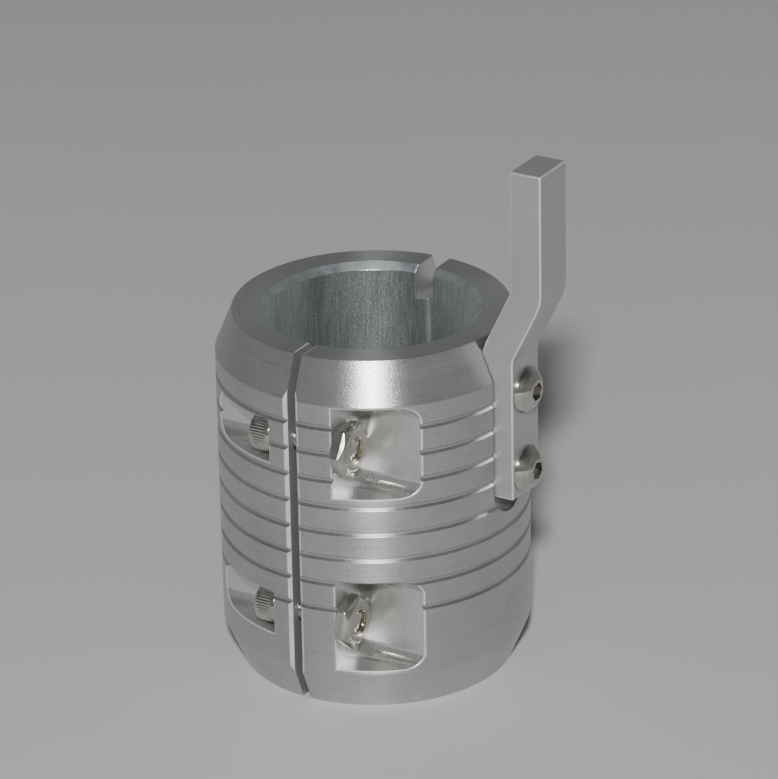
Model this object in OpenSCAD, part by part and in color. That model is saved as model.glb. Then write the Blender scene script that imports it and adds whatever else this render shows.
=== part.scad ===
// Split clamping sleeve with a joggled actuating arm.
// Millimetres. Z is up along the bore, the origin is the centre of the bottom face.
// The slit is on -Y and the flexure web on +Y. The clamp screws lie along X, with their
// heads on -X and their nuts on +X. The arm stands on +X.
// The sleeve is one piece. It is drawn as two jaws that meet across its web.

/* [Sleeve] */
// Outside diameter
sleeve_d = 60.3; // [50:0.1:75]
// Bore diameter
bore_d = 40; // [30:0.1:50]
// Length along the bore
sleeve_h = 72.4; // [60:0.1:90]
// Length of the long cone at each end
cone_h = 8.2; // [4:0.1:12]
// How far each cone comes in at the end face
cone_in = 3.4; // [1:0.1:5]
// Chamfer at each mouth of the bore
mouth_chamfer = 1.4; // [0.5:0.1:2.5]

/* [Rings] */
// Number of ring grooves
ring_count = 8; // [0:1:10]
// Distance from one groove to the next
ring_pitch = 5.4; // [3:0.1:8]
// Distance from the top face down to the first groove
ring_top = 12.7; // [10:0.1:20]
// Width of a groove at the surface
ring_w = 1.2; // [0.5:0.1:2]
// Depth of a groove
ring_depth = 0.5; // [0.2:0.05:1]

/* [Slit and flexure] */
// Width of the front slit
slit_w = 1.75; // [1:0.05:3]
// Chamfer along the outer edges of the slit
slit_chamfer = 0.55; // [0.1:0.05:1]
// Width of the relief groove in the rear wall of the bore
relief_w = 1.4; // [0.5:0.1:3]
// Depth of that groove. The wall behind it is the web that bends.
relief_depth = 1.5; // [0.5:0.1:7]
// Width of the notch through the rear wall at the top
notch_w = 3.8; // [2:0.1:6]
// Depth of that notch
notch_depth = 6.9; // [4:0.1:12]

/* [Clamp screws] */
// Height of the lower screw axis
clamp_low_z = 18.3; // [15:0.1:25]
// Distance between the two screw axes
clamp_spacing = 36.2; // [30:0.1:45]
// Distance from the bore axis to the screw axes
clamp_out = 25.6; // [24:0.1:28]
// Diameter of the screw thread
thread_d = 4.83; // [3:0.01:6]
// Length of a clamp screw under its head
clamp_screw_l = 16.3; // [12:0.1:25]
// Diameter of a screw head
cap_d = 7.92; // [5:0.01:10]
// Height of a screw head
cap_h = 4.83; // [3:0.01:6]
// Hex key size of a clamp screw
cap_key = 3.97; // [2:0.01:5]
// Close hole in the head side
close_hole_d = 5; // [4:0.05:6]
// Free hole in the nut side
free_hole_d = 5.2; // [4:0.05:6]

/* [Clamp nuts] */
// Size across the flats
nut_af = 9.525; // [6:0.005:12]
// Thickness
nut_t = 3.3; // [2:0.05:5]
// Hole in the nut
nut_hole_d = 5.08; // [4:0.01:6]
// How far the lower nut is turned from having a corner straight out
nut_low_turn = 17; // [0:1:60]

/* [Pockets] */
// Seat under the screw heads, on the -X side of the slit
head_seat_x = 5.2; // [3:0.1:8]
// Height of a head pocket
head_pocket_h = 8.9; // [8:0.1:12]
// Distance from the bore axis to the floor of a head pocket
head_floor = 21.4; // [20:0.1:24]
// Seat under the nuts, on the +X side of the slit
nut_seat_x = 8.2; // [5:0.1:12]
// Height of a nut pocket
nut_pocket_h = 18.4; // [12:0.1:22]
// Distance from the bore axis to the floor of a nut pocket
nut_floor = 20; // [19:0.1:24]
// Radius of the milled corners
pocket_r = 3.175; // [1:0.005:5]

/* [Arm] */
// Thickness of the bar, away from the sleeve
arm_t = 6.5; // [4:0.05:8]
// Width of the bar
arm_w = 10; // [6:0.1:14]
// Distance from the bore axis to the outer face of the lower part
arm_out = 33.6; // [30:0.1:36]
// Height of the lower end
arm_low_z = 40.4; // [30:0.1:55]
// Height of the upper end
arm_high_z = 107.5; // [80:0.5:140]
// How far the upper part steps out
joggle = 6.2; // [0:0.1:12]
// Angle of the step
joggle_angle = 26; // [10:1:45]
// Height of the lower bend
joggle_z = 69.9; // [65:0.1:80]
// Bend radius along the middle of the bar
bend_r = 6; // [4:0.5:15]
// Gap between the bar and each side of its slot
slot_gap = 0.2; // [0:0.01:0.5]
// Height of the centre of the slot's round end
slot_end_z = 41.2; // [35:0.1:55]

/* [Arm screws] */
// Height of the lower screw
arm_screw_low_z = 45.3; // [42:0.1:50]
// Distance between the two screws
arm_screw_spacing = 16.4; // [10:0.1:20]
// Diameter of the domed head
button_d = 9.17; // [6:0.01:12]
// Height of the domed head
button_h = 2.57; // [1:0.01:4]
// Hex key size of an arm screw
button_key = 3.175; // [2:0.005:5]
// Length under the head
arm_screw_l = 11.1; // [8:0.1:14]

/* [Hidden] */
$fn = 96;

aluminium = [0.70, 0.71, 0.71];
bar_grey = [0.62, 0.63, 0.62];
steel = [0.50, 0.49, 0.47];
nickel = [0.62, 0.60, 0.55];

eps = 0.01;
sleeve_r = sleeve_d / 2;
bore_r = bore_d / 2;
rim_r = sleeve_r - cone_in;
mouth_r = bore_r + mouth_chamfer;
hinge_y = bore_r + relief_depth;
reach = sleeve_d;
clamp_zs = [clamp_low_z, clamp_low_z + clamp_spacing];
thread_r = thread_d / 2;
arm_in = arm_out - arm_t;
arm_mid = arm_out - arm_t / 2;
joggle_rise = joggle / tan(joggle_angle);
// Each bend is drawn as a few flats. It starts and ends a setback away from its corner.
bend_steps = 8;
bend_setback = bend_r * tan(joggle_angle / 2);
arm_screw_zs = [arm_screw_low_z, arm_screw_low_z + arm_screw_spacing];
// The tapped hole runs a little past the end of its screw.
tapped_depth = arm_screw_l - arm_t + 1;
tapped_r = thread_r + 0.05;
// The dome of an arm screw is part of a ball: it starts at the land and ends at a flat.
button_land = 0.4;
button_flat_r = 2.3;
dome_c = ((button_d / 2) ^ 2 + button_land ^ 2 - button_flat_r ^ 2 - button_h ^ 2)
         / (2 * (button_land - button_h));
dome_r = sqrt((button_d / 2) ^ 2 + (button_land - dome_c) ^ 2);

// A hexagon prism of a given size across its flats.
module hex(af, h) {
  cylinder(h = h, d = af / cos(30), $fn = 6);
}

// Lays a shape that points along +Z down, so that it points along +X from a given place.
module along_x(x, y, z) {
  translate([x, y, z]) rotate([0, 90, 0]) children();
}

// Turned blank: the tube with its two long cones and its bore chamfers.
module blank() {
  rotate_extrude() polygon([
    [mouth_r, 0], [rim_r, 0], [sleeve_r, cone_h], [sleeve_r, sleeve_h - cone_h],
    [rim_r, sleeve_h], [mouth_r, sleeve_h], [bore_r, sleeve_h - mouth_chamfer],
    [bore_r, mouth_chamfer]]);
}

// Ring grooves round the outside, all the same V with a small flat bottom.
module rings() {
  flat = ring_w / 6;
  mouth = ring_w - flat;
  for (i = [0 : ring_count - 1])
    translate([0, 0, sleeve_h - ring_top - i * ring_pitch])
      rotate_extrude() polygon([
        [sleeve_r + ring_depth, -mouth], [sleeve_r + ring_depth, mouth],
        [sleeve_r - ring_depth, flat], [sleeve_r - ring_depth, -flat]]);
}

// Front slit with its V-shaped edge chamfer, the rear relief groove and the rear notch.
// The relief groove lies to the +X side of the plane where the jaws meet.
module cuts() {
  translate([-slit_w / 2, -reach, -eps]) cube([slit_w, reach, sleeve_h + 2 * eps]);
  translate([0, slit_w / 2 + slit_chamfer - sleeve_r, -eps])
    linear_extrude(sleeve_h + 2 * eps)
      polygon([[0, 0], [-reach / 4, -reach / 4], [reach / 4, -reach / 4]]);
  translate([0, 0, -eps]) cube([relief_w, hinge_y, sleeve_h + 2 * eps]);
  translate([-notch_w / 2, 0, sleeve_h - notch_depth]) cube([notch_w, reach, reach]);
}

// One side of the sleeve: side is 1 for +X and -1 for -X.
module half_sleeve(side) {
  difference() {
    blank();
    rings();
    cuts();
    translate([side > 0 ? -reach : 0, -reach, -eps])
      cube([reach, 2 * reach, sleeve_h + 2 * eps]);
  }
}

// Side view of a milled pocket, open on its left: a rectangle with round inner corners.
module pocket_section(floor_y, h) {
  union() {
    translate([-reach, -h / 2]) square([reach - floor_y - pocket_r, h]);
    translate([-reach, pocket_r - h / 2]) square([reach - floor_y, h - 2 * pocket_r]);
    for (s = [-1, 1])
      translate([-floor_y - pocket_r, s * (h / 2 - pocket_r)]) circle(pocket_r);
  }
}

// A pocket that starts at a seat and runs out through the side of the sleeve.
module pocket(seat_x, side, floor_y, h, z) {
  translate([side > 0 ? seat_x : -seat_x - reach, 0, z])
    rotate([90, 0, 90]) linear_extrude(reach) pocket_section(floor_y, h);
}

// Slot for the arm, open at the top and round at its lower end.
module arm_slot() {
  slot_w = arm_w + 2 * slot_gap;
  translate([arm_in, -slot_w / 2, slot_end_z]) cube([reach, slot_w, reach]);
  along_x(arm_in, 0, slot_end_z) cylinder(h = reach, d = slot_w);
}

// Arm side of the sleeve, with the nut pockets, the free holes and the slot for the arm.
module fixed_jaw() {
  color(aluminium) difference() {
    half_sleeve(1);
    for (z = clamp_zs) {
      pocket(nut_seat_x, 1, nut_floor, nut_pocket_h, z);
      along_x(-eps, -clamp_out, z) cylinder(h = nut_seat_x + 1, d = free_hole_d);
    }
    arm_slot();
    for (z = arm_screw_zs)
      along_x(arm_in - tapped_depth, 0, z) cylinder(h = reach / 4, r = tapped_r);
  }
}

// Screw-head side of the sleeve, with the head pockets and the close holes.
module moving_jaw() {
  color(aluminium) difference() {
    half_sleeve(-1);
    for (z = clamp_zs) {
      pocket(head_seat_x, -1, head_floor, head_pocket_h, z);
      along_x(-head_seat_x - 1, -clamp_out, z) cylinder(h = head_seat_x + 2, d = close_hole_d);
    }
  }
}

// One side of the lower bend, as points up the bar. It turns the bar out to +X.
// The side is d out from the middle line of the bar.
function bend_out(x, z, d) = [
  for (i = [0 : bend_steps]) let (a = i * joggle_angle / bend_steps)
    [x + bend_r - (bend_r - d) * cos(a), z - bend_setback + (bend_r - d) * sin(a)]];

// One side of the upper bend, which turns the bar upright again.
function bend_back(x, z, d) = [
  for (i = [0 : bend_steps]) let (a = joggle_angle - i * joggle_angle / bend_steps)
    [x - bend_r + (bend_r + d) * cos(a), z + bend_setback - (bend_r + d) * sin(a)]];

// One whole side of the bar, as points from its lower end to its upper end.
function bar_side(d) = concat(
  [[arm_mid + d, arm_low_z]],
  bend_out(arm_mid, joggle_z, d),
  bend_back(arm_mid + joggle, joggle_z + joggle_rise, d),
  [[arm_mid + joggle + d, arm_high_z]]);

function reversed(list) = [for (i = [len(list) - 1 : -1 : 0]) list[i]];

// Joggled bar: straight, bend out, slope, bend back, straight. It has two clearance holes.
module arm() {
  color(bar_grey) difference() {
    translate([0, arm_w / 2, 0]) rotate([90, 0, 0]) linear_extrude(arm_w)
      polygon(concat(bar_side(arm_t / 2), reversed(bar_side(-arm_t / 2))));
    for (z = arm_screw_zs)
      along_x(arm_in - 1, 0, z) cylinder(h = arm_t + 2, d = free_hole_d);
  }
}

// Clamp screw, head on -X and seated on the head pocket's wall.
module clamp_screw(z) {
  edge = 0.4;
  along_x(-head_seat_x, -clamp_out, z) difference() {
    union() {
      cylinder(h = clamp_screw_l - edge, d = thread_d);
      translate([0, 0, clamp_screw_l - edge])
        cylinder(h = edge, r1 = thread_r, r2 = thread_r - edge);
      translate([0, 0, edge - cap_h]) cylinder(h = cap_h - edge, d = cap_d);
      translate([0, 0, -cap_h]) cylinder(h = edge, r1 = cap_d / 2 - edge, r2 = cap_d / 2);
    }
    translate([0, 0, -cap_h - 1]) hex(cap_key, cap_h / 2 + 1);
  }
}

module upper_clamp_screw() {
  color(steel) clamp_screw(clamp_zs[1]);
}

module lower_clamp_screw() {
  color(steel) clamp_screw(clamp_zs[0]);
}

// Hex nut with a round chamfer on both faces and a steep bevel along its front edges.
// At turn 0 a corner points out of the pocket.
module clamp_nut(z, turn) {
  bevel_deep = 1.1;
  bevel_in = 0.5;
  // The round faces are smaller than the flats, and the slopes end past the corners.
  face_r = nut_af * 0.42;
  outer_r = nut_af * 0.6;
  slope = (outer_r - face_r) * tan(30);
  sink = 0.35;
  along_x(nut_seat_x, -clamp_out, z) difference() {
    intersection() {
      rotate([0, 0, 30 + turn]) union() {
        hex(nut_af, nut_t - bevel_deep);
        translate([0, 0, nut_t - bevel_deep])
          cylinder(h = bevel_deep, d1 = nut_af / cos(30), d2 = (nut_af - 2 * bevel_in) / cos(30),
                   $fn = 6);
      }
      rotate_extrude() polygon([
        [0, 0], [face_r, 0], [outer_r, slope], [outer_r, nut_t - slope], [face_r, nut_t],
        [0, nut_t]]);
    }
    translate([0, 0, -1]) cylinder(h = nut_t + 2, d = nut_hole_d);
    translate([0, 0, nut_t - sink])
      cylinder(h = sink + eps, d1 = nut_hole_d, d2 = nut_hole_d + 2 * sink);
  }
}

module upper_clamp_nut() {
  color(nickel) clamp_nut(clamp_zs[1], 0);
}

module lower_clamp_nut() {
  color(nickel) clamp_nut(clamp_zs[0], nut_low_turn);
}

// The two domed screws that hold the arm in its slot.
module arm_screws() {
  socket_depth = 1.6;
  color(steel) for (z = arm_screw_zs)
    along_x(arm_out, 0, z) difference() {
      union() {
        intersection() {
          cylinder(h = button_h, d = button_d);
          translate([0, 0, dome_c]) sphere(dome_r);
        }
        translate([0, 0, -arm_screw_l]) cylinder(h = arm_screw_l + eps, d = thread_d);
      }
      translate([0, 0, button_h - socket_depth]) hex(button_key, socket_depth + 1);
    }
}

fixed_jaw();
moving_jaw();
arm();
upper_clamp_screw();
lower_clamp_screw();
upper_clamp_nut();
lower_clamp_nut();
arm_screws();
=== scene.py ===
"""Looks for the split clamping sleeve with its joggled arm.

Shapes are in millimetres, which mesh() turns into metres. Materials are in metres."""

import math

import bmesh
import bpy
from mathutils import Matrix, Vector


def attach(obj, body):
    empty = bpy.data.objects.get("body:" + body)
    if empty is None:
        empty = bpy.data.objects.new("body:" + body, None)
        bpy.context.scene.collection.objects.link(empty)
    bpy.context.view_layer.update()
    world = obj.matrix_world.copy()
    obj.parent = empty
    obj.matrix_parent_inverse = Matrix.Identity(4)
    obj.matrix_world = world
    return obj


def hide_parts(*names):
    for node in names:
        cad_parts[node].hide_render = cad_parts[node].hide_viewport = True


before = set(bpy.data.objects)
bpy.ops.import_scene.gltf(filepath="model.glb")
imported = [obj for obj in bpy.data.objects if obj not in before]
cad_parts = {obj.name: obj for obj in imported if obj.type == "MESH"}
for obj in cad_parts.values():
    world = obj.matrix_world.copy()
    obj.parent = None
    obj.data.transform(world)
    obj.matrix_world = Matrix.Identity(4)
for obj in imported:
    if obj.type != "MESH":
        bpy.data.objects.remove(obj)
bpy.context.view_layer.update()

MM = 0.001
TAU = 2 * math.pi
QUARTER = math.pi / 2


# ---------------------------------------------------------------- materials

class Net:
    """A material's nodes, with short calls for the few kinds of node used here.

    colour and roughness are its plain values, for a viewer that can't run the nodes."""

    def __init__(self, name, colour, roughness, metallic=1.0):
        self.material = bpy.data.materials.new(name)
        self.material.use_nodes = True
        self.tree = self.material.node_tree
        self.bsdf = self.tree.nodes["Principled BSDF"]
        self.bsdf.inputs["Metallic"].default_value = metallic
        self.bsdf.inputs["Base Color"].default_value = (*colour, 1)
        self.bsdf.inputs["Roughness"].default_value = roughness
        self.place = self.node("ShaderNodeTexCoord").outputs["Object"]

    def node(self, kind, **settings):
        made = self.tree.nodes.new(kind)
        for key, value in settings.items():
            setattr(made, key, value)
        return made

    def put(self, socket, value):
        if isinstance(value, bpy.types.NodeSocket):
            self.tree.links.new(value, socket)
        else:
            socket.default_value = value

    def math(self, operation, a, b=0.0):
        made = self.node("ShaderNodeMath", operation=operation)
        for socket, value in zip(made.inputs, (a, b)):
            self.put(socket, value)
        return made.outputs[0]

    def blend(self, *shares):
        """The sum of some values, each given as (value, weight)."""
        total = None
        for value, weight in reversed(shares):
            part = self.math("MULTIPLY", value, weight)
            total = part if total is None else self.math("ADD", part, total)
        return total

    def split(self, vector):
        made = self.node("ShaderNodeSeparateXYZ")
        self.put(made.inputs[0], vector)
        return made.outputs

    def join(self, x, y, z):
        made = self.node("ShaderNodeCombineXYZ")
        for socket, value in zip(made.inputs, (x, y, z)):
            self.put(socket, value)
        return made.outputs[0]

    def stretch(self, x, y, z):
        """Object coordinates, scaled: a small factor draws a texture out along that axis."""
        p = self.split(self.place)
        return self.join(self.math("MULTIPLY", p[0], x), self.math("MULTIPLY", p[1], y),
                         self.math("MULTIPLY", p[2], z))

    def noise(self, vector, scale, detail=3.0, roughness=0.5):
        made = self.node("ShaderNodeTexNoise")
        self.put(made.inputs["Vector"], vector)
        self.put(made.inputs["Scale"], scale)
        self.put(made.inputs["Detail"], detail)
        self.put(made.inputs["Roughness"], roughness)
        return made.outputs["Fac"]

    def span(self, value, low, high, to_low, to_high):
        """Carries a value from one range to another and stops at the ends."""
        made = self.node("ShaderNodeMapRange")
        for socket, number in zip(made.inputs, (value, low, high, to_low, to_high)):
            self.put(socket, number)
        return made.outputs[0]

    def tint(self, value, low, high, dark, light):
        """The base colour: dark where the value is low, light where it is high."""
        made = self.node("ShaderNodeMix", data_type="RGBA")
        self.put(made.inputs["Factor"], self.span(value, low, high, 0, 1))
        self.put(made.inputs["A"], (*dark, 1))
        self.put(made.inputs["B"], (*light, 1))
        self.put(self.bsdf.inputs["Base Color"], made.outputs["Result"])

    def rough(self, value, low, high, smooth, dull):
        """The roughness: smooth where the value is low, dull where it is high."""
        self.put(self.bsdf.inputs["Roughness"], self.span(value, low, high, smooth, dull))

    def around_axis(self, amount):
        """Lines round Z, which spread a highlight across themselves, that is along the axis."""
        x, y, z = self.split(self.place)
        self.put(self.bsdf.inputs["Tangent"], self.join(self.math("MULTIPLY", y, -1), x, 0))
        self.bsdf.inputs["Anisotropic"].default_value = amount
        self.bsdf.inputs["Anisotropic Rotation"].default_value = 0.25

    def bump(self, height, distance, strength=1.0):
        """Adds relief on top of what is there already."""
        made = self.node("ShaderNodeBump")
        self.put(made.inputs["Height"], height)
        self.put(made.inputs["Distance"], distance)
        self.put(made.inputs["Strength"], strength)
        before = self.bsdf.inputs["Normal"]
        if before.is_linked:
            self.put(made.inputs["Normal"], before.links[0].from_socket)
        self.put(before, made.outputs["Normal"])


def turned_metal():
    """Satin lathe finish: fine lines round the axis, on the sides and on the faces."""
    net = Net("turned_aluminium", (0.8, 0.8, 0.8), 0.36, 0.93)
    x, y, z = net.split(net.place)
    radius = net.math("SQRT", net.blend((x, x), (y, y)))
    along = net.math("ADD", z, radius)
    # the lines change only slowly on the way round
    slowly = 0.006
    lines = net.join(along, net.math("MULTIPLY", x, slowly), net.math("MULTIPLY", y, slowly))
    fine = net.noise(lines, 6500, 2.0, 0.6)
    cloud = net.noise(net.place, 90)
    speck = net.noise(net.place, 4200, 2.0, 0.6)
    mixed = net.blend((fine, 0.25), (speck, 0.5), (cloud, 0.25))
    net.tint(mixed, 0.36, 0.64, (0.39, 0.405, 0.41), (0.62, 0.635, 0.63))
    net.rough(mixed, 0.35, 0.65, 0.27, 0.35)
    net.bump(fine, 0.00002, 0.18)
    net.bump(speck, 0.00006, 0.5)
    net.around_axis(0.86)
    return net.material


def bore_metal():
    """The bore: short streaks along the axis and small bright specks."""
    net = Net("bore_aluminium", (0.8, 0.8, 0.8), 0.42, 0.95)
    streak = net.noise(net.stretch(1, 1, 0.05), 3200, 3.0, 0.6)
    speck = net.noise(net.stretch(1, 1, 0.6), 5200, 2.0, 0.7)
    cloud = net.noise(net.stretch(1, 1, 0.4), 160)
    mixed = net.blend((streak, 0.3), (speck, 0.45), (cloud, 0.25))
    net.tint(mixed, 0.36, 0.64, (0.38, 0.425, 0.435), (0.92, 0.95, 0.94))
    net.rough(speck, 0.3, 0.7, 0.28, 0.44)
    net.bump(streak, 0.00002, 0.4)
    net.bump(speck, 0.00004, 0.6)
    net.around_axis(0.3)
    return net.material


def mouth_metal():
    """The chamfers at the mouths of the bore: an even cut, a little blue."""
    net = Net("mouth_aluminium", (0.6, 0.64, 0.64), 0.3, 0.95)
    grain = net.noise(net.place, 2400, 3.0, 0.7)
    cloud = net.noise(net.place, 300, 2.0)
    mixed = net.blend((grain, 0.5), (cloud, 0.5))
    net.tint(mixed, 0.35, 0.65, (0.44, 0.49, 0.50), (0.58, 0.63, 0.64))
    net.rough(cloud, 0.3, 0.7, 0.36, 0.46)
    net.bump(grain, 0.00001, 0.2)
    return net.material


def milled_metal(name, chatter, smooth, dull):
    """End-milled pocket wall. The chatter is the height of the ribs that the cutter left."""
    net = Net(name, (0.65, 0.65, 0.65), smooth, 0.88)
    grain = net.noise(net.stretch(1, 0.12, 0.12), 2600, 2.0, 0.6)
    cloud = net.noise(net.place, 160)
    mixed = net.blend((grain, 0.5), (cloud, 0.5))
    net.tint(mixed, 0.3, 0.7, (0.54, 0.55, 0.54), (0.71, 0.715, 0.70))
    net.rough(mixed, 0.3, 0.7, smooth, dull)
    net.bump(grain, 0.00003, 0.3)
    if chatter:
        rib_pitch = 0.0005
        x = net.split(net.place)[0]
        drift = net.noise(net.place, 300, 1.0)
        net.bump(net.math("SINE", net.blend((x, TAU / rib_pitch), (drift, 2))), chatter)
    return net.material


def edge_wear_and_highlight_metal():
    """Deburred edges: rubbed, with small nicks, and pale as a painted highlight along each edge."""
    net = Net("edge_wear_and_painted_highlight", (0.85, 0.85, 0.84), 0.4, 0.7)
    nick = net.noise(net.place, 2200, 3.0, 0.7)
    cloud = net.noise(net.place, 260, 2.0)
    mixed = net.blend((nick, 0.6), (cloud, 0.4))
    net.tint(mixed, 0.34, 0.66, (0.66, 0.665, 0.66), (0.95, 0.95, 0.94))
    net.rough(nick, 0.3, 0.7, 0.30, 0.5)
    net.bump(nick, 0.00004, 0.5)
    return net.material


def bar_metal():
    """Satin bar: very fine lines along its length, a few light scuffs."""
    net = Net("bar_aluminium_satin", (0.62, 0.62, 0.61), 0.42, 0.75)
    grain = net.noise(net.stretch(1, 1, 0.04), 3600, 2.0, 0.6)
    cloud = net.noise(net.place, 90)
    scuff = net.noise(net.stretch(0.3, 0.3, 1), 800, 2.0, 0.7)
    mixed = net.blend((grain, 0.5), (cloud, 0.3), (scuff, 0.2))
    net.tint(mixed, 0.3, 0.7, (0.42, 0.425, 0.42), (0.52, 0.525, 0.515))
    net.rough(mixed, 0.3, 0.7, 0.36, 0.48)
    net.bump(grain, 0.00004, 0.3)
    return net.material


def bright_metal(name, dark, light, smooth, dull):
    """Bright metal with faint marks round X, the way that every screw and nut points."""
    net = Net(name, light, smooth)
    marks = net.noise(net.stretch(1, 0.05, 0.05), 3000, 2.0)
    cloud = net.noise(net.place, 420)
    mixed = net.blend((marks, 0.4), (cloud, 0.6))
    net.tint(mixed, 0.35, 0.65, dark, light)
    net.rough(mixed, 0.35, 0.65, smooth, dull)
    net.bump(marks, 0.00002, 0.3)
    return net.material


def floor_paper():
    """Plain pale matt floor, faintly uneven."""
    net = Net("pale_floor", (0.4, 0.4, 0.4), 0.85, metallic=0.0)
    cloud = net.noise(net.place, 5)
    fibre = net.noise(net.place, 900)
    mixed = net.blend((cloud, 0.6), (fibre, 0.4))
    net.tint(mixed, 0.3, 0.7, (0.53, 0.535, 0.53), (0.56, 0.565, 0.56))
    return net.material


TURNED = turned_metal()
BORE = bore_metal()
MOUTHS = mouth_metal()
MILLED = milled_metal("milled_aluminium", 0, 0.28, 0.40)
CHATTER = milled_metal("chatter_aluminium", 0.000008, 0.14, 0.22)
# pale broken edges: partly rubbed metal, partly a painted highlight
EDGE_WEAR_AND_HIGHLIGHT = edge_wear_and_highlight_metal()
BAR = bar_metal()
# painted shade: the broken edges of the arm's slot are coloured dark for the shaded gap by the arm
PAINTED_SLOT_SHADE = bright_metal("slot_edge_painted_shade", (0.20, 0.205, 0.20), (0.32, 0.325, 0.32), 0.16, 0.28)
STEEL = bright_metal("bright_steel", (0.46, 0.45, 0.42), (0.66, 0.64, 0.60), 0.10, 0.20)
NUT = bright_metal("nut_steel", (0.46, 0.445, 0.40), (0.66, 0.635, 0.58), 0.12, 0.22)
THREAD = bright_metal("thread_steel", (0.40, 0.36, 0.28), (0.62, 0.57, 0.46), 0.16, 0.28)


# ---------------------------------------------------------------- outlines

def steps(start, stop, count):
    """Values from start to stop, both included, in equal steps."""
    return [start + (stop - start) * i / count for i in range(count + 1)]


def even_angles(count):
    """Angles all the way round, the first half a step from zero."""
    return [TAU * (k + 0.5) / count for k in range(count)]


def circle(radius, count):
    return [(radius * math.cos(a), radius * math.sin(a)) for a in even_angles(count)]


def hexagon(flats):
    """A hexagon by its width across its flats."""
    corner = flats / math.sqrt(3)
    return [(corner * math.cos(TAU * k / 6), corner * math.sin(TAU * k / 6)) for k in range(6)]


def rounded(corners, radii, count=3):
    """A closed outline with each corner made an arc, and where each straight starts."""
    out, starts = [], []
    for i, (corner, radius) in enumerate(zip(corners, radii)):
        here = Vector(corner)
        back = (Vector(corners[i - 1]) - here).normalized()
        ahead = (Vector(corners[(i + 1) % len(corners)]) - here).normalized()
        turn = math.pi - back.angle(ahead)
        if radius <= 0:
            out.append(here)
        else:
            setback = radius * math.tan(turn / 2)
            centre = here + (back + ahead).normalized() * radius / math.cos(turn / 2)
            first, last = here + back * setback - centre, here + ahead * setback - centre
            swing = first.angle_signed(last)
            for s in range(count + 1):
                out.append(centre + Matrix.Rotation(-swing * s / count, 2) @ first)
        starts.append(len(out) - 1)
    return out, starts


def frame_x(x, y, z, turn=0.0):
    """A frame whose local Z points along +X, turned about it."""
    return (Matrix.Translation((x, y, z)) @ Matrix.Rotation(QUARTER, 4, "Y")
            @ Matrix.Rotation(turn, 4, "Z"))


# ---------------------------------------------------------------- meshes

SAME_POINT = 1e-8    # metres: points of one skin that coincide
NO_AREA = 1e-9       # metres: faces on the axis of a rod that have shrunk to nothing
LEFTOVER = 2e-6      # metres: what the cuts leave of points that should coincide


def mesh(name, rings, materials, closed=True, pick=lambda i: 0):
    """A skin over a list of rings of points, all with the same number of points.

    The last ring joins the first if closed, and otherwise both ends get a cap. pick(i) is the
    number of the material on the strip that follows ring i."""
    data = bpy.data.meshes.new(name)
    count = len(rings[0])
    points = [Vector(p) * MM for ring in rings for p in ring]
    faces, numbers = [], []
    for i in range(len(rings) if closed else len(rings) - 1):
        j = (i + 1) % len(rings)
        for k in range(count):
            m = (k + 1) % count
            faces.append((i * count + k, i * count + m, j * count + m, j * count + k))
            numbers.append(pick(i))
    if not closed:
        faces.append(tuple(reversed(range(count))))
        faces.append(tuple(range((len(rings) - 1) * count, len(rings) * count)))
        numbers += [pick(0), pick(len(rings) - 2)]
    data.from_pydata(points, [], faces)
    for material in materials:
        data.materials.append(material)
    data.polygons.foreach_set("material_index", numbers)
    made = bpy.data.objects.new(name, data)
    bpy.context.scene.collection.objects.link(made)
    outward(made)
    return made


def outward(made):
    """Joins points that coincide and turns every face outward."""
    shell = bmesh.new()
    shell.from_mesh(made.data)
    bmesh.ops.remove_doubles(shell, verts=shell.verts, dist=SAME_POINT)
    bmesh.ops.recalc_face_normals(shell, faces=shell.faces)
    shell.to_mesh(made.data)
    shell.free()


def lathe(name, outline, angles, materials, at=Matrix.Identity(4), shape=None, pick=lambda i: 0):
    """Turns (radius, height) points round Z. shape(angle, r, z) may change a radius."""
    rings = []
    for r, z in outline:
        ring = []
        for a in angles:
            q = shape(a, r, z) if shape else r
            ring.append(at @ Vector((q * math.cos(a), q * math.sin(a), z)))
        rings.append(ring)
    return mesh(name, rings, materials, pick=pick)


def rod(name, outline, segments, material, at, shape=None):
    """The same, for a solid whose outline starts and ends on the axis."""
    made = lathe(name, outline, even_angles(segments), [material], at, shape)
    shell = bmesh.new()
    shell.from_mesh(made.data)
    bmesh.ops.dissolve_degenerate(shell, edges=shell.edges, dist=NO_AREA)
    shell.to_mesh(made.data)
    shell.free()
    outward(made)
    return made


def prism(name, outline, length, material, at):
    """Pushes an outline in the local XY plane along local Z."""
    rings = [[at @ Vector((*p, z)) for p in outline] for z in (0, length)]
    return mesh(name, rings, [material], closed=False)


def apply(made):
    """Replaces an object's mesh with what its modifiers make of it."""
    bpy.context.view_layer.update()
    graph = bpy.context.evaluated_depsgraph_get()
    data = bpy.data.meshes.new_from_object(made.evaluated_get(graph), depsgraph=graph)
    made.modifiers.clear()
    old, made.data = made.data, data
    bpy.data.meshes.remove(old)


def boolean(made, tools, operation="DIFFERENCE"):
    """Cuts with each tool in turn and throws the tools away. Cut faces keep the tool's material."""
    for tool in tools:
        step = made.modifiers.new("cut", "BOOLEAN")
        step.operation, step.solver, step.object = operation, "EXACT", tool
        step.material_mode = "TRANSFER"
        apply(made)
    for tool in tools:
        bpy.data.objects.remove(tool)


def collapse_slivers(shell, sharp, reach):
    """Moves each smooth surface point that is very near a sharp edge onto it.

    Without this the edge could not be broken there."""
    target = {}
    for vert in shell.verts:
        if vert in sharp:
            continue
        near = [(edge.calc_length(), edge.other_vert(vert)) for edge in vert.link_edges
                if edge.other_vert(vert) in sharp]
        if near:
            length, other = min(near, key=lambda n: n[0])
            if length < reach:
                target[vert] = other
    bmesh.ops.weld_verts(shell, targetmap=target)


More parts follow.
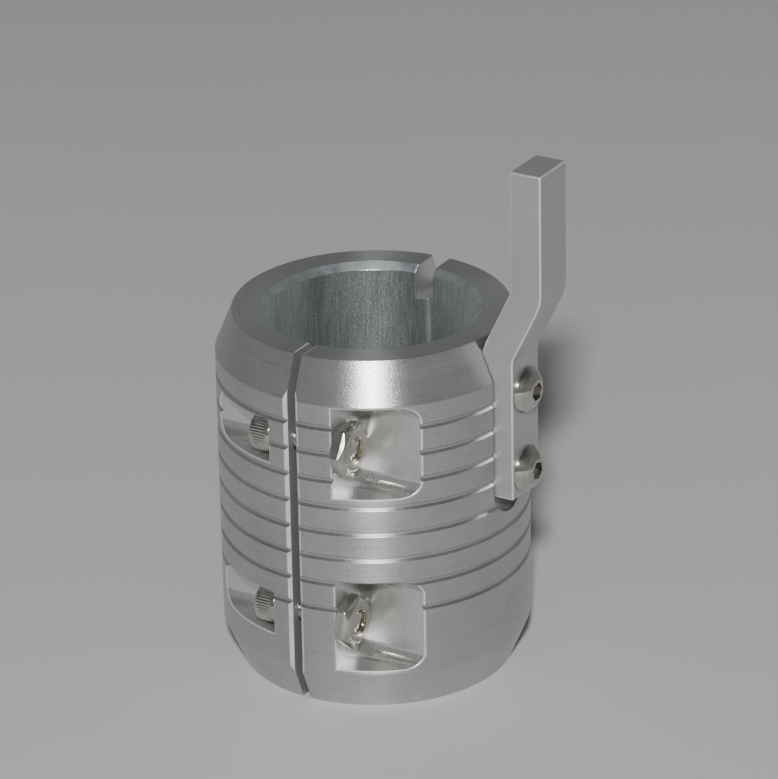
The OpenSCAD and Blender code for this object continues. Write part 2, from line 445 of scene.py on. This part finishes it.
def finish_edges(made, width, skip=None, segments=2, angle=30, tidy=0.0, edge_material=None):
    """Breaks the sharp outer edges by a given width, except those that skip(edge) names.

    angle is the least angle in degrees that counts as sharp, tidy the reach of
    collapse_slivers, and the last argument a material for the broken edges."""
    shell = bmesh.new()
    shell.from_mesh(made.data)
    bmesh.ops.remove_doubles(shell, verts=shell.verts, dist=LEFTOVER)
    bmesh.ops.dissolve_degenerate(shell, edges=shell.edges, dist=LEFTOVER)
    limit = math.radians(angle)
    if tidy:
        sharp = {v for e in shell.edges if e.calc_face_angle(0) > limit for v in e.verts}
        collapse_slivers(shell, sharp, tidy * MM)
        bmesh.ops.dissolve_degenerate(shell, edges=shell.edges, dist=LEFTOVER)
    layer = shell.edges.layers.float.new("bevel_weight_edge")
    for edge in shell.edges:
        if len(edge.link_faces) == 2 and edge.is_convex and edge.calc_face_angle(0) > limit:
            edge[layer] = 0.0 if skip and skip(edge) else 1.0
    shell.to_mesh(made.data)
    shell.free()
    if width:
        step = made.modifiers.new("edges", "BEVEL")
        step.limit_method, step.width, step.segments = "WEIGHT", width * MM, segments
        step.use_clamp_overlap = False
        if edge_material:
            made.data.materials.append(edge_material)
            step.material = len(made.data.materials) - 1
        apply(made)
    made.data.shade_smooth()
    made.data.set_sharp_from_angle(angle=limit)
    step = made.modifiers.new("normals", "WEIGHTED_NORMAL")
    step.keep_sharp = True
    step.weight = 80
    apply(made)


# ---------------------------------------------------------------- sizes, as in the CAD

# sleeve, with the cone at each end and the chamfer at each mouth of the bore
SLEEVE_R, BORE_R, SLEEVE_H = 30.15, 20.0, 72.4
CONE_H, CONE_IN, MOUTH = 8.2, 3.4, 1.4
# ring grooves, the first one RING_TOP below the top
RING_COUNT, RING_PITCH, RING_TOP, RING_W, RING_DEPTH = 8, 5.4, 12.7, 1.2, 0.5
# slit in front, relief groove and notch behind
SLIT_W, SLIT_CHAMFER = 1.75, 0.55
RELIEF_W, RELIEF_DEPTH = 1.4, 1.5
NOTCH_W, NOTCH_DEPTH = 3.8, 6.9
# clamp screws and nuts, CLAMP_OUT in front of the axis
CLAMP_ZS, CLAMP_OUT, CLAMP_L = (18.3, 54.5), 25.6, 16.3
THREAD_R, PITCH = 2.415, 0.794
CAP_D, CAP_H, CAP_KEY = 7.92, 4.83, 3.97
CLOSE_HOLE, FREE_HOLE = 5.0, 5.2
NUT_AF, NUT_T, NUT_HOLE, NUT_TURNS = 9.525, 3.3, 5.08, (17, 0)
NUT_BEVEL_DEEP, NUT_BEVEL_IN = 1.1, 0.5
# pockets for the heads on -X and for the nuts on +X
HEAD_SEAT, HEAD_H, HEAD_FLOOR = 5.2, 8.9, 21.4
NUT_SEAT, NUT_H, NUT_FLOOR, POCKET_R = 8.2, 18.4, 20.0, 3.175
# arm, its slot in the sleeve and its screws
ARM_T, ARM_W, ARM_OUT, ARM_LOW, ARM_HIGH = 6.5, 10.0, 33.6, 40.4, 107.5
JOGGLE, JOGGLE_ANGLE, JOGGLE_Z, BEND_R = 6.2, math.radians(26), 69.9, 6.0
SLOT_GAP, SLOT_END = 0.2, 41.2
ARM_SCREW_ZS, ARM_SCREW_L = (45.3, 61.7), 11.1
BUTTON_D, BUTTON_H, BUTTON_KEY = 9.17, 2.57, 3.175

# where cutting tools end: past the sides, under the bottom and over the top
FAR, UNDER, OVER = 60.0, -5.0, 90.0
# how far a hole's tool goes past the face that it comes out of
PAST = 1.0
HOLE_SIDES = 48


def box_tool(low, high, material=MILLED):
    outline = [(low[0], low[1]), (high[0], low[1]), (high[0], high[1]), (low[0], high[1])]
    return prism("box", outline, high[2] - low[2], material, Matrix.Translation((0, 0, low[2])))


def hole_tool(radius, x, y, z, length, material=MILLED):
    """A round tool along X that starts at a point."""
    return prism("hole", circle(radius, HOLE_SIDES), length, material, frame_x(x, y, z))


# ---------------------------------------------------------------- sleeve

SLEEVE_COLUMNS = 288
SLEEVE_BREAK = 0.22     # width of the broken edges
SLEEVE_TIDY = 0.25      # reach within which surface points move onto an edge


def sleeve_outline():
    """Turned section of the sleeve, and its strips that are mouth, bore and mouth."""
    small, groove_round, rim_round, cone_round = 0.12, 0.08, 0.2, 0.5
    half, half_flat = RING_W / 2, RING_W / 6
    corners = [(BORE_R + MOUTH, 0), (SLEEVE_R - CONE_IN, 0), (SLEEVE_R, CONE_H)]
    radii = [small, rim_round, cone_round]
    for i in reversed(range(RING_COUNT)):
        z = SLEEVE_H - RING_TOP - i * RING_PITCH
        corners += [(SLEEVE_R, z - half), (SLEEVE_R - RING_DEPTH, z - half_flat),
                    (SLEEVE_R - RING_DEPTH, z + half_flat), (SLEEVE_R, z + half)]
        radii += [small, groove_round, groove_round, small]
    corners += [(SLEEVE_R, SLEEVE_H - CONE_H), (SLEEVE_R - CONE_IN, SLEEVE_H),
                (BORE_R + MOUTH, SLEEVE_H), (BORE_R, SLEEVE_H - MOUTH), (BORE_R, MOUTH)]
    radii += [cone_round, rim_round, small, small, small]
    points, starts = rounded(corners, radii)
    return points, starts[-3:]


def sleeve_angles():
    """Even columns round the sleeve, without those close beside a cut's upright edge."""
    front, rear, arm_side = -QUARTER, QUARTER, 0.0
    # each cut edge as the middle of its cut, its distance from there and its radius
    cuts = []
    for r in (SLEEVE_R, SLEEVE_R - CONE_IN, BORE_R):
        cuts += [(front, s * SLIT_W / 2, r) for s in (-1, 1)]
        cuts += [(rear, -x, r) for x in (-NOTCH_W / 2, 0, RELIEF_W, NOTCH_W / 2)]
        cuts += [(arm_side, s * (ARM_W / 2 + SLOT_GAP), r) for s in (-1, 1)]
    chamfer = SLIT_W / 2 + SLIT_CHAMFER
    cuts += [(front, x, SLEEVE_R) for x in (NUT_SEAT, -HEAD_SEAT, chamfer, -chamfer)]
    clear = 0.4

    def far_enough(a):
        for middle, across, r in cuts:
            turn = (a - middle - math.asin(across / r) + math.pi) % TAU - math.pi
            if abs(turn) * r < clear:
                return False
        return True

    return [a for a in even_angles(SLEEVE_COLUMNS) if far_enough(a)]


def pocket_tool(seat, side, floor, height, z):
    """Section (y, z) with round inner corners, run out along X from the seat."""
    outline = [(-FAR, -height / 2)]
    for s, start, stop in ((-1, -QUARTER, 0), (1, 0, QUARTER)):
        for a in steps(start, stop, 12):
            outline.append((-floor - POCKET_R + POCKET_R * math.cos(a),
                            s * (height / 2 - POCKET_R) + POCKET_R * math.sin(a)))
    outline.append((-FAR, height / 2))
    ends = sorted((side * seat, side * FAR))
    rings = [[(x, p[0], z + p[1]) for p in outline] for x in ends]
    made = mesh("pocket", rings, [MILLED, CHATTER], closed=False)
    # the cutter's corner chattered in the round corners
    slant = 0.08
    for face in made.data.polygons:
        n = face.normal
        if abs(n.x) < 0.5 and abs(n.z) > slant and n.y > slant:
            face.material_index = 1
    return made


def slot_tool():
    """The arm's slot: round at its lower end, open at the top and outward."""
    half = ARM_W / 2 + SLOT_GAP
    outline = [(half * math.cos(a), half * math.sin(a)) for a in steps(math.pi, TAU, 48)]
    outline += [(half, FAR), (-half, FAR)]
    at = Matrix(((0, 0, 1, ARM_OUT - ARM_T), (1, 0, 0, 0), (0, 1, 0, SLOT_END), (0, 0, 0, 1)))
    return prism("slot", outline, FAR, MILLED, at)


def slit_chamfer_tool():
    """A square wedge whose two sides break the slit's outer edges at 45 degrees."""
    tip, reach = SLIT_W / 2 + SLIT_CHAMFER - SLEEVE_R, 15
    # the chamfer faces take the pale edge colour: partly rubbed metal, partly a painted highlight
    return prism("vee", [(0, tip), (-reach, tip - reach), (reach, tip - reach)], OVER - UNDER, EDGE_WEAR_AND_HIGHLIGHT,
                 Matrix.Translation((0, 0, UNDER)))


def sleeve_tools():
    tools = [box_tool((-SLIT_W / 2, -FAR, UNDER), (SLIT_W / 2, 0, OVER), BAR),
             box_tool((-NOTCH_W / 2, 0, SLEEVE_H - NOTCH_DEPTH), (NOTCH_W / 2, FAR, OVER)),
             slit_chamfer_tool()]
    for z in CLAMP_ZS:
        tools += [pocket_tool(HEAD_SEAT, -1, HEAD_FLOOR, HEAD_H, z),
                  pocket_tool(NUT_SEAT, 1, NUT_FLOOR, NUT_H, z),
                  hole_tool(CLOSE_HOLE / 2, -HEAD_SEAT - PAST, -CLAMP_OUT, z, HEAD_SEAT + PAST),
                  hole_tool(FREE_HOLE / 2, 0, -CLAMP_OUT, z, NUT_SEAT + PAST)]
    tools.append(slot_tool())
    clear, to_slot = 0.05, 15
    for z in ARM_SCREW_ZS:
        tools.append(hole_tool(THREAD_R + clear, ARM_OUT - ARM_SCREW_L - PAST, 0, z, to_slot))
    return tools


def kept_sharp(edge):
    """True for the edges that stay sharp, most of them because they run close to others."""
    middle = (edge.verts[0].co + edge.verts[1].co) / 2 / MM
    # the top of each head pocket, next to a ring groove
    if middle.x < 0 and any(abs(middle.z - z - HEAD_H / 2) < 0.3 for z in CLAMP_ZS):
        return True
    # the seam across the web
    if all(abs(v.co.x) < 1e-6 for v in edge.verts):
        return True
    # the slit behind its chamfer
    if all(abs(abs(v.co.x) - SLIT_W / 2 * MM) < 1e-5 and v.co.y < -25 * MM for v in edge.verts):
        return True
    # the ends of the ring grooves
    for v in edge.verts:
        down = (SLEEVE_H - RING_TOP - v.co.z / MM) / RING_PITCH
        ring = min(max(round(down), 0), RING_COUNT - 1)
        off_groove = abs(down - ring) * RING_PITCH > RING_W / 2 + 0.05
        if off_groove or v.co.xy.length < (SLEEVE_R - 0.8) * MM:
            return False
    return True


def settle_edges(jaw):
    """Pale painted-highlight edges stay only in front; the arm's slot edges are painted shade."""
    front, by_slot = -6 * MM, (BORE_R + 2) * MM
    jaw.data.materials.append(PAINTED_SLOT_SHADE)
    dark = len(jaw.data.materials) - 1
    for face in jaw.data.polygons:
        # in front the pale edges stay as a painted highlight; by the slot they turn to painted shade
        if jaw.data.materials[face.material_index] == EDGE_WEAR_AND_HIGHLIGHT and face.center.y > front:
            face.material_index = dark if face.center.x > by_slot else 0


def build_sleeve():
    """One turned and cut body, then its two halves on each side of the web."""
    outline, (top_mouth, bore, foot_mouth) = sleeve_outline()
    kinds = {top_mouth: 2, bore: 1, foot_mouth: 2}
    body = lathe("sleeve", outline, sleeve_angles(), [TURNED, BORE, MOUTHS],
                 pick=lambda i: kinds.get(i, 0))
    boolean(body, sleeve_tools())
    for name, node, side in (("jaw_with_arm_slot", "fixed_jaw", 1),
                             ("jaw_with_screw_heads", "moving_jaw", -1)):
        jaw = body.copy()
        jaw.data = body.data.copy()
        jaw.name = name
        bpy.context.scene.collection.objects.link(jaw)
        low, high = sorted((0, -side * FAR))
        cuts = [box_tool((low, -FAR, UNDER), (high, FAR, OVER))]
        if side > 0:
            cuts.append(box_tool((-PAST, 0, UNDER), (RELIEF_W, BORE_R + RELIEF_DEPTH, OVER), BORE))
        boolean(jaw, cuts)
        # the broken edges take the pale colour: rubbed metal and a painted highlight
        finish_edges(jaw, SLEEVE_BREAK, kept_sharp, tidy=SLEEVE_TIDY, edge_material=EDGE_WEAR_AND_HIGHLIGHT)
        settle_edges(jaw)
        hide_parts(node)
        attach(jaw, "sleeve" if side > 0 else "clamp_side")
    bpy.data.objects.remove(body)


# ---------------------------------------------------------------- arm

def arm_side(offset):
    """One side of the bar, at an offset from its middle: straight, bend, bend, straight."""
    x, rise = ARM_OUT - ARM_T / 2, JOGGLE / math.tan(JOGGLE_ANGLE)
    setback, count = BEND_R * math.tan(JOGGLE_ANGLE / 2), 12
    side = [(x + offset, ARM_LOW)]
    inner, outer = BEND_R - offset, BEND_R + offset
    for a in steps(0, JOGGLE_ANGLE, count):
        side.append((x + BEND_R - inner * math.cos(a), JOGGLE_Z - setback + inner * math.sin(a)))
    for a in steps(JOGGLE_ANGLE, 0, count):
        side.append((x + JOGGLE - BEND_R + outer * math.cos(a),
                     JOGGLE_Z + rise + setback - outer * math.sin(a)))
    side.append((x + JOGGLE + offset, ARM_HIGH))
    return side


def build_arm():
    """Joggled bar: rows of four corners from its foot to its top."""
    half = ARM_W / 2
    rows = [[(a[0], -half, a[1]), (a[0], half, a[1]), (b[0], half, b[1]), (b[0], -half, b[1])]
            for a, b in zip(arm_side(ARM_T / 2), arm_side(-ARM_T / 2))]
    arm = mesh("joggled_arm", rows, [BAR], closed=False)
    boolean(arm, [hole_tool(FREE_HOLE / 2, ARM_OUT - ARM_T - PAST, 0, z, ARM_T + 2 * PAST, BAR)
                  for z in ARM_SCREW_ZS])
    # the broken edges take the pale colour: rubbed metal and a painted highlight
    finish_edges(arm, 0.3, segments=3, angle=40, edge_material=EDGE_WEAR_AND_HIGHLIGHT)
    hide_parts("arm")
    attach(arm, "sleeve")


# ---------------------------------------------------------------- screws and nuts

THREAD_DEPTH = 0.45
THREAD_ROWS = 8      # rows of points in each turn of a thread
POINT = 0.5          # how far the end of a screw is chamfered


def thread_depth(angle, z):
    """How far below the crest a 60-degree thread is, with a small flat on the crest and root."""
    flat, flank = 0.12, 0.72
    t = (z / PITCH - angle / TAU) % 1
    return min(1, max(0, (abs(2 * t - 1) - flat) / flank)) * THREAD_DEPTH


def threaded(z_low, z_high, radius):
    """Rows of (radius, z) for a threaded length."""
    rows = int((z_high - z_low) / (PITCH / THREAD_ROWS))
    return [(radius, z) for z in steps(z_low, z_high, rows)]


def build_clamp_screw(name, node, body, z):
    """Socket cap screw, head on -X: knurled head, helical thread, hex socket."""
    at = frame_x(-HEAD_SEAT, -CLAMP_OUT, z)
    r, lip, round_off, bearing_round = CAP_D / 2, 0.4, 0.12, 0.8
    head, _ = rounded([(0, -CAP_H), (r - lip, -CAP_H), (r, -CAP_H + lip), (r, 0), (THREAD_R, 0)],
                      [0, round_off, round_off, bearing_round, 0], 5)
    # the knurl runs from the chamfer to the plain band under the head
    ribs, rib_depth, rib_fade, band = 44, 0.12, 0.3, 1.0
    low, high = -CAP_H + lip + 0.1, -band
    knurl = [(r, h) for h in steps(low, high, 6)]
    cut = next(i for i, p in enumerate(head) if p[1] > low)
    outline = [tuple(p) for p in head[:cut]] + knurl + [tuple(p) for p in head[cut:]]
    outline += threaded(0.35, CLAMP_L, THREAD_R) + [(0, CLAMP_L)]
    neck, run_in = 0.3, 0.6

    def shape(a, q, h):
        if h > neck:
            groove = thread_depth(a, h) * min(1, (h - neck) / run_in)
            return min(q - groove, THREAD_R - POINT + CLAMP_L - h) if q else 0
        if low - 1e-6 <= h <= high + 1e-6 and q > r - 0.02:
            edge = min(1, (h - low) / rib_fade, (high - h) / rib_fade)
            return q - rib_depth * edge * (0.5 - 0.5 * math.cos(ribs * a))
        return q

    screw = rod(name, outline, 8 * ribs, STEEL, at, shape)
    socket_at = at @ Matrix.Translation((0, 0, -CAP_H - PAST))
    boolean(screw, [prism("socket", hexagon(CAP_KEY), CAP_H / 2 + PAST, STEEL, socket_at)])
    finish_edges(screw, 0, angle=50)
    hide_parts(node)
    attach(screw, body)


def build_nut(name, node, z, turn):
    """Hex nut: round chamfers, a steep bevel along its front edges, a thread in its hole."""
    at = frame_x(NUT_SEAT, -CLAMP_OUT, z, math.radians(30 + turn))
    rows = [(NUT_AF, 0), (NUT_AF, NUT_T - NUT_BEVEL_DEEP), (NUT_AF - 2 * NUT_BEVEL_IN, NUT_T)]
    nut = mesh(name, [[at @ Vector((*p, h)) for p in hexagon(flats)] for flats, h in rows], [NUT],
               closed=False)
    # the round chamfers slope at 30 degrees from the edge of each round face
    face, outer = NUT_AF * 0.42, NUT_AF * 0.6
    slope = (outer - face) * math.tan(math.radians(30))
    faces = [(0, 0), (face, 0), (outer, slope), (outer, NUT_T - slope), (face, NUT_T), (0, NUT_T)]
    boolean(nut, [rod("faces", faces, 144, NUT, at)], "INTERSECT")
    # the hole's tool opens out at both faces of the nut
    root, flare, fade, below, above = NUT_HOLE / 2 - 0.02, 0.5, 0.3, 0.25, 0.15
    hole = [(0, -flare), (root + flare, -flare), (root, below)]
    hole += threaded(fade, NUT_T - fade, root)
    hole += [(root, NUT_T - above), (root + flare, NUT_T + 0.4), (0, NUT_T + 0.4)]
    crest_in = 0.3

    def shape(a, q, h):
        if fade - 0.02 < h < NUT_T - fade + 0.02 and q:
            share = min(1, (h - fade) / fade, (NUT_T - fade - h) / fade)
            return q - crest_in * (1 - thread_depth(a, h) / THREAD_DEPTH) * max(0, share)
        return q

    def in_hole(edge):
        return all((at.inverted() @ (v.co / MM)).xy.length < root + 0.2 for v in edge.verts)

    boolean(nut, [rod("hole", hole, 96, THREAD, at, shape)])
    finish_edges(nut, 0.16, in_hole, segments=3, angle=20)
    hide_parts(node)
    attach(nut, "sleeve")


def build_arm_screws():
    """Two domed socket screws, as one piece for their one CAD node."""
    r, land, flat_r, socket_depth = BUTTON_D / 2, 0.4, 2.3, 1.6
    # the dome is part of a ball that passes through the edges of its land and of its flat top
    centre = (r * r + land * land - flat_r * flat_r - BUTTON_H ** 2) / (2 * (land - BUTTON_H))
    ball = math.hypot(r, land - centre)
    start, stop = math.atan2(land - centre, r), math.atan2(BUTTON_H - centre, flat_r)
    dome = [(ball * math.cos(a), centre + ball * math.sin(a)) for a in steps(start, stop, 24)]
    outline = [(0, -ARM_SCREW_L)] + threaded(-ARM_SCREW_L, -ARM_T, THREAD_R)
    outline += [(THREAD_R, -0.3), (THREAD_R + 0.2, 0), (r - 0.1, 0), (r, 0.1)]
    outline += dome + [(0, BUTTON_H)]
    run_in = 0.5

    def shape(a, q, h):
        if h <= -ARM_T + 0.01 and q:
            groove = thread_depth(a, h) * min(1, (-ARM_T - h) / run_in)
            return min(q - groove, THREAD_R - POINT + h + ARM_SCREW_L)
        return q

    both = None
    for n, z in enumerate(ARM_SCREW_ZS):
        at = frame_x(ARM_OUT, 0, z)
        screw = rod("domed_screws", outline, 128, STEEL, at, shape)
        # each screw came to rest at an angle of its own
        turn = Matrix.Rotation(math.radians(12 + 25 * n), 4, "Z")
        socket_at = at @ Matrix.Translation((0, 0, BUTTON_H - socket_depth)) @ turn
        boolean(screw, [prism("socket", hexagon(BUTTON_KEY), socket_depth + PAST, STEEL, socket_at)])
        if both is None:
            both = screw
        else:
            shell = bmesh.new()
            shell.from_mesh(both.data)
            shell.from_mesh(screw.data)
            shell.to_mesh(both.data)
            shell.free()
            bpy.data.objects.remove(screw)
    finish_edges(both, 0, angle=32)
    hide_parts("arm_screws")
    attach(both, "sleeve")


# ---------------------------------------------------------------- stage

CAMERA_AZIMUTH, CAMERA_ELEVATION, CAMERA_DISTANCE = 31.3, 23.287, 0.909
# how the camera is turned away from the middle of the rim, in degrees
AIM_YAW, AIM_PITCH, AIM_ROLL = 0.193, -1.035, -1.122


def look(azimuth, elevation):
    """The direction from the object towards a camera or lamp, azimuth 0 on -Y and 90 on +X."""
    a, e = math.radians(azimuth), math.radians(elevation)
    return Vector((math.sin(a) * math.cos(e), -math.cos(a) * math.cos(e), math.sin(e)))


def add_camera():
    """Stands in front and to the right, well above, with a long lens and a slight roll."""
    data = bpy.data.cameras.new("camera")
    data.lens, data.sensor_width, data.sensor_fit = 220.2, 36.0, "HORIZONTAL"
    data.clip_start, data.clip_end = 0.05, 20
    camera = bpy.data.objects.new("camera", data)
    bpy.context.scene.collection.objects.link(camera)
    rim = Vector((0, 0, SLEEVE_H * MM))
    camera.location = rim + look(CAMERA_AZIMUTH, CAMERA_ELEVATION) * CAMERA_DISTANCE
    forward = (rim - camera.location).normalized()
    up = Vector((0, 0, 1))
    right = forward.cross(up).normalized()
    yaw, pitch, roll = math.radians(AIM_YAW), math.radians(AIM_PITCH), math.radians(AIM_ROLL)
    forward = forward * math.cos(yaw) + right * math.sin(yaw)
    right = forward.cross(up).normalized()
    above = right.cross(forward)
    forward = forward * math.cos(pitch) + above * math.sin(pitch)
    above = right.cross(forward)
    side = right * math.cos(roll) + above * math.sin(roll)
    top = above * math.cos(roll) - right * math.sin(roll)
    camera.rotation_euler = Matrix((side, top, -forward)).transposed().to_euler()
    bpy.context.scene.camera = camera


def add_light(name, azimuth, elevation, distance, width, height, watts):
    data = bpy.data.lights.new(name, "AREA")
    data.shape, data.size, data.size_y = "RECTANGLE", width, height
    data.energy = watts
    lamp = bpy.data.objects.new(name, data)
    bpy.context.scene.collection.objects.link(lamp)
    aim = Vector((0, 0, 0.04))
    lamp.location = aim + look(azimuth, elevation) * distance
    lamp.rotation_euler = (aim - lamp.location).to_track_quat("-Z", "Y").to_euler()


def add_sky():
    """A plain studio round the object: light walls and a dark ceiling."""
    world = bpy.data.worlds.new("studio")
    world.use_nodes = True
    nodes, links = world.node_tree.nodes, world.node_tree.links
    background = nodes["Background"]
    height = nodes.new("ShaderNodeSeparateXYZ")
    links.new(nodes.new("ShaderNodeTexCoord").outputs["Generated"], height.inputs[0])
    shade = nodes.new("ShaderNodeMapRange")
    wall_top, ceiling, wall_light, ceiling_light = 0.4, 0.85, 0.23, 0.07
    levels = (wall_top, ceiling, wall_light, ceiling_light)
    for socket, number in zip(list(shade.inputs)[1:5], levels):
        socket.default_value = number
    links.new(height.outputs["Z"], shade.inputs[0])
    links.new(shade.outputs[0], background.inputs["Color"])
    background.inputs["Strength"].default_value = 1.0
    bpy.context.scene.world = world


def add_stage():
    add_sky()
    data = bpy.data.meshes.new("floor")
    data.from_pydata([(-4, -3, 0), (4, -3, 0), (4, 4, 0), (-4, 4, 0)], [], [(0, 1, 2, 3)])
    data.materials.append(floor_paper())
    floor = bpy.data.objects.new("floor", data)
    bpy.context.scene.collection.objects.link(floor)
    # the one lamp stands above the camera, a touch to its left
    add_light("key", CAMERA_AZIMUTH - 1.1, 34.5, 1.7, 0.12, 0.09, 33)


add_camera()
add_stage()
build_sleeve()
build_arm()
build_clamp_screw("upper_cap_screw", "upper_clamp_screw", "upper_screw", CLAMP_ZS[1])
build_clamp_screw("lower_cap_screw", "lower_clamp_screw", "lower_screw", CLAMP_ZS[0])
build_nut("upper_nut", "upper_clamp_nut", CLAMP_ZS[1], NUT_TURNS[1])
build_nut("lower_nut", "lower_clamp_nut", CLAMP_ZS[0], NUT_TURNS[0])
build_arm_screws()
